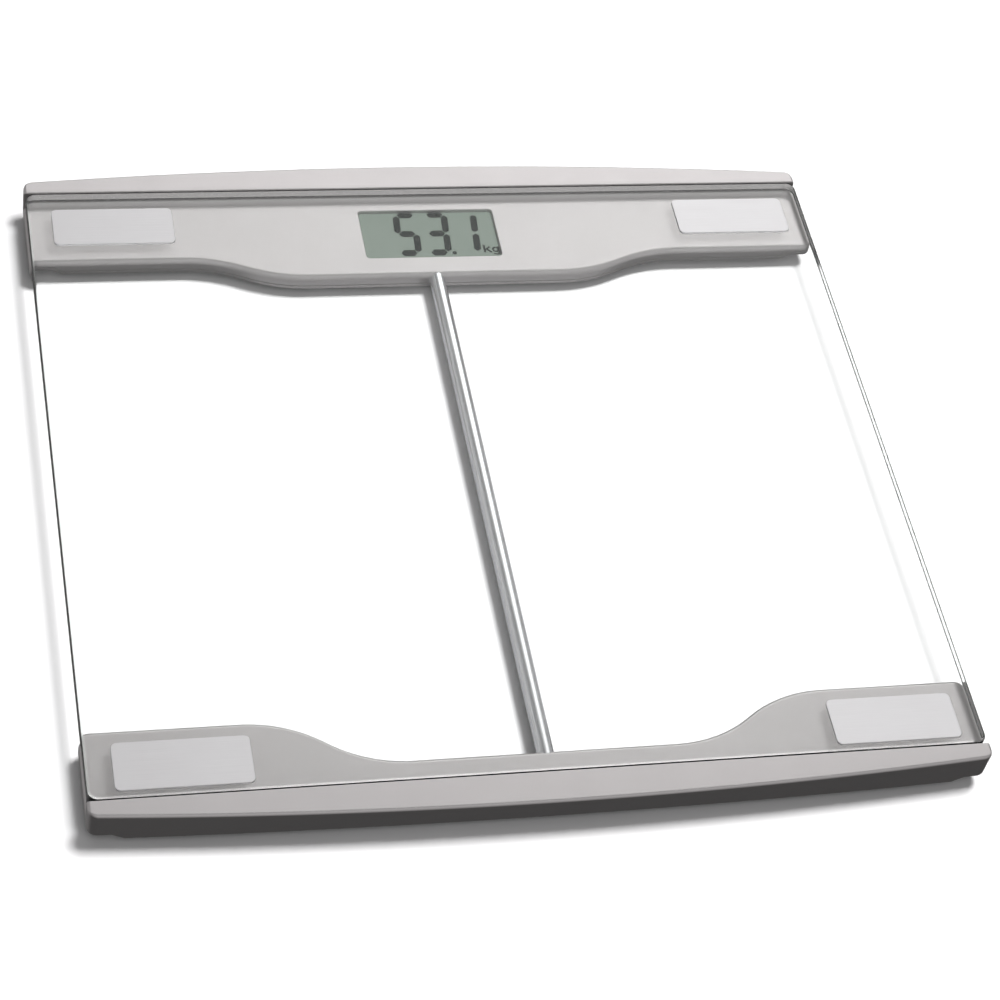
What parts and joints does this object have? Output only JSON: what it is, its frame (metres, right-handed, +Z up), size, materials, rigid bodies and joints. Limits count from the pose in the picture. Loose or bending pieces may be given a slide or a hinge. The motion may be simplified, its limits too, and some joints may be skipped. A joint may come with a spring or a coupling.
{
  "type": "glass bathroom scale",
  "caption": "Slim electronic bathroom scale: clear glass platform with steel corner plates on silver end housings joined by a tube, with a display under the glass.",
  "frame": {"origin": "on the floor under the middle of the glass platform", "axes": "+Z up, +Y towards the display side, +X to the right of a user who reads the display"},
  "size_m": [0.331, 0.3228, 0.0208],
  "materials": {
    "platform_glass": "clear tempered glass, polished, faint green edge",
    "plate_steel": "fine brushed stainless steel",
    "clear_silicone": "clear silicone, semi-matt",
    "silver_paint": "moulded plastic with satin silver paint",
    "base_plastic": "fine textured dark grey plastic",
    "tube_aluminium": "satin anodised, drawn lengthways",
    "plug_plastic": "plain black plastic",
    "frame_plastic": "plain black plastic",
    "lcd_glass": "grey-green display with a satin polariser",
    "connector_rubber": "striped soft silicone",
    "board_laminate": "green solder mask",
    "chip_epoxy": "cured black potting resin",
    "component_ceramic": "soldered ceramic components",
    "switch_plastic": "black plastic switch",
    "button_plastic": "grey plastic",
    "cell_steel": "nickel-plated steel cell",
    "contact_brass": "spring brass",
    "cover_plastic": "fine textured dark grey plastic",
    "cell_plate_steel": "zinc-plated spring steel",
    "gauge_sealant": "white silicone sealant",
    "retainer_plastic": "plain off-white plastic",
    "foot_plastic": "dark grey plastic",
    "foot_rubber": "black rubber, matt",
    "wire_red": "red insulation",
    "wire_white": "white insulation",
    "wire_black": "black insulation",
    "screw_steel": "nickel-plated steel"
  },
  "bodies": {
    "body": {"glass_platform": "platform_glass", "contact_plate_rear_left": "plate_steel", "contact_plate_rear_right": "plate_steel", "contact_plate_front_left": "plate_steel", "contact_plate_front_right": "plate_steel", "bond_pad_rear_left": "clear_silicone", "bond_pad_rear_right": "clear_silicone", "bond_pad_front_left": "clear_silicone", "bond_pad_front_right": "clear_silicone", "rear_housing": "silver_paint", "rear_base": "base_plastic", "front_housing": "silver_paint", "front_base": "base_plastic", "centre_tube": "tube_aluminium", "tube_plug_rear": "plug_plastic", "tube_plug_front": "plug_plastic", "lcd_frame": "frame_plastic", "lcd_panel": "lcd_glass", "zebra_strip": "connector_rubber", "main_board": "board_laminate", "controller_chip": "chip_epoxy", "board_parts": "component_ceramic", "button_board": "board_laminate", "tact_switch": "switch_plastic", "coin_cell": "cell_steel", "battery_contact_plus": "contact_brass", "battery_contact_minus": "contact_brass", "load_cell_rear_left": "cell_plate_steel", "load_cell_rear_right": "cell_plate_steel", "load_cell_front_left": "cell_plate_steel", "load_cell_front_right": "cell_plate_steel", "strain_gauge_rear_left": "gauge_sealant", "strain_gauge_rear_right": "gauge_sealant", "strain_gauge_front_left": "gauge_sealant", "strain_gauge_front_right": "gauge_sealant", "cell_retainer_rear_left": "retainer_plastic", "cell_retainer_rear_right": "retainer_plastic", "cell_retainer_front_left": "retainer_plastic", "cell_retainer_front_right": "retainer_plastic", "foot_cap_rear_left": "foot_plastic", "foot_cap_rear_right": "foot_plastic", "foot_cap_front_left": "foot_plastic", "foot_cap_front_right": "foot_plastic", "foot_pad_rear_left": "foot_rubber", "foot_pad_rear_right": "foot_rubber", "foot_pad_front_left": "foot_rubber", "foot_pad_front_right": "foot_rubber", "wires_front": "wire_red", "wires_rear_left": "wire_white", "wires_rear_right": "wire_white", "wires_board": "wire_black", "rear_base_screws": "screw_steel", "front_base_screws": "screw_steel", "retainer_screws": "screw_steel", "board_screws": "screw_steel"},
    "cover": {"battery_cover": "cover_plastic"},
    "button": {"unit_button": "button_plastic"}
  },
  "joints": [
    {"name": "battery_cover_turn", "type": "hinge", "parent": "body", "child": "cover", "pos_m": [-0.066, 0.131, 0.0056], "axis": [0, 0, 1], "range_deg": [0, 45]},
    {"name": "unit_button_press", "type": "slide", "parent": "body", "child": "button", "axis": [0, 0, 1], "range_m": [0, 0.0005], "stiffness_N_per_m": 150}
  ]
}
